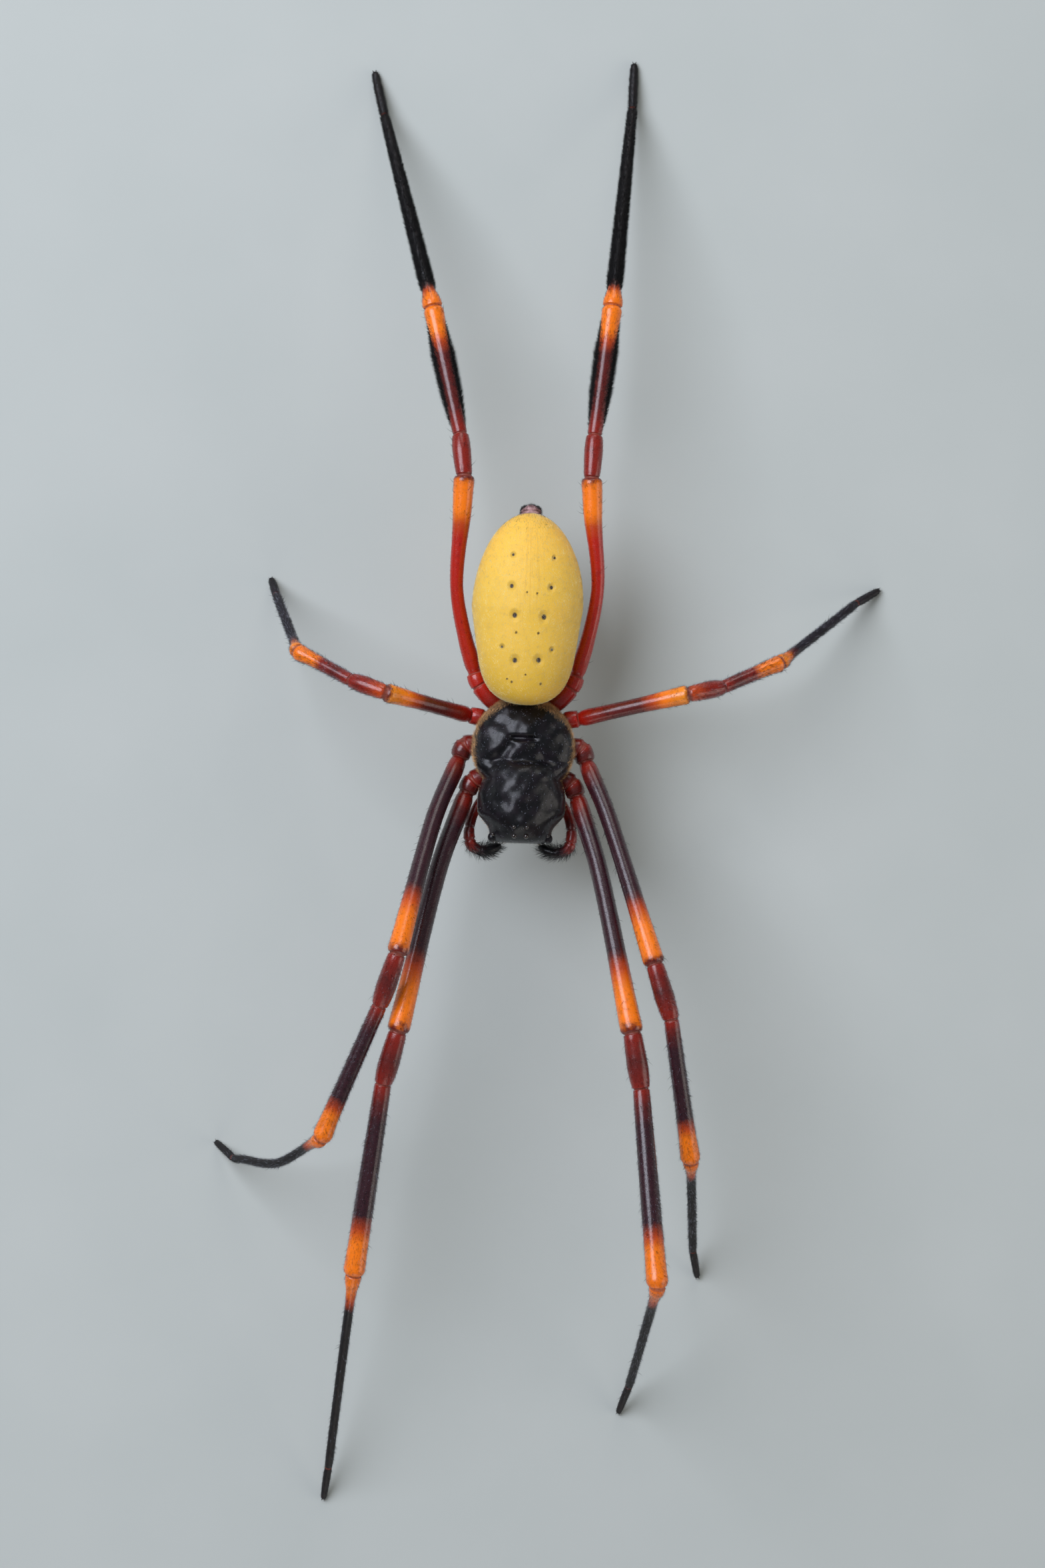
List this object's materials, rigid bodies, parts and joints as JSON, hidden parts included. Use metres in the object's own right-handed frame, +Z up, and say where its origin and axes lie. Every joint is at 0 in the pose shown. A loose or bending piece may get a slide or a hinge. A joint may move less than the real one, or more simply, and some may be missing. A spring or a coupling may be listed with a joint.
{
  "type": "orb weaver spider",
  "caption": "Life-size model of a female golden silk orb weaver standing on its feet, with a plain golden abdomen, black carapace and long red and orange banded legs.",
  "frame": {"origin": "on the floor, under the middle of the whole animal's bounding box", "axes": "+Z up, -Y the way the head points, +X the spider's left side"},
  "size_m": [0.0686, 0.153, 0.0258],
  "materials": {
    "abdomen": "plain golden-mustard skin, satin, with fine pale down and small dark pits",
    "carapace": "glossy black shell with uneven relief and bluish reflections",
    "underside": "dark red-brown plates under the body",
    "spinnerets": "dull purplish brown with dark fuzz",
    "palp": "dark purple-red, black and bristly at the tips",
    "leg_skin": "glossy shell banded in red, maroon, purple-black and orange along each leg"
  },
  "bodies": {
    "root": {"abdomen": "abdomen", "carapace": "carapace", "sternum": "underside", "mouthparts": "underside", "pedicel": "underside", "spinnerets": "spinnerets", "chelicera_right": "carapace", "chelicera_left": "carapace", "palp_right": "palp", "palp_left": "palp", "leg_1_right_coxa": "leg_skin", "leg_1_right_femur": "leg_skin", "leg_1_right_patella": "leg_skin", "leg_1_right_tibia": "leg_skin", "leg_1_right_metatarsus": "leg_skin", "leg_1_right_tarsus": "leg_skin", "leg_1_left_coxa": "leg_skin", "leg_1_left_femur": "leg_skin", "leg_1_left_patella": "leg_skin", "leg_1_left_tibia": "leg_skin", "leg_1_left_metatarsus": "leg_skin", "leg_1_left_tarsus": "leg_skin", "leg_2_right_coxa": "leg_skin", "leg_2_right_femur": "leg_skin", "leg_2_right_patella": "leg_skin", "leg_2_right_tibia": "leg_skin", "leg_2_right_metatarsus": "leg_skin", "leg_2_right_tarsus": "leg_skin", "leg_2_left_coxa": "leg_skin", "leg_2_left_femur": "leg_skin", "leg_2_left_patella": "leg_skin", "leg_2_left_tibia": "leg_skin", "leg_2_left_metatarsus": "leg_skin", "leg_2_left_tarsus": "leg_skin", "leg_3_right_coxa": "leg_skin", "leg_3_right_femur": "leg_skin", "leg_3_right_patella": "leg_skin", "leg_3_right_tibia": "leg_skin", "leg_3_right_metatarsus": "leg_skin", "leg_3_right_tarsus": "leg_skin", "leg_3_left_coxa": "leg_skin", "leg_3_left_femur": "leg_skin", "leg_3_left_patella": "leg_skin", "leg_3_left_tibia": "leg_skin", "leg_3_left_metatarsus": "leg_skin", "leg_3_left_tarsus": "leg_skin", "leg_4_right_coxa": "leg_skin", "leg_4_right_femur": "leg_skin", "leg_4_right_patella": "leg_skin", "leg_4_right_tibia": "leg_skin", "leg_4_right_metatarsus": "leg_skin", "leg_4_right_tarsus": "leg_skin", "leg_4_left_coxa": "leg_skin", "leg_4_left_femur": "leg_skin", "leg_4_left_patella": "leg_skin", "leg_4_left_tibia": "leg_skin", "leg_4_left_metatarsus": "leg_skin", "leg_4_left_tarsus": "leg_skin"}
  },
  "joints": []
}
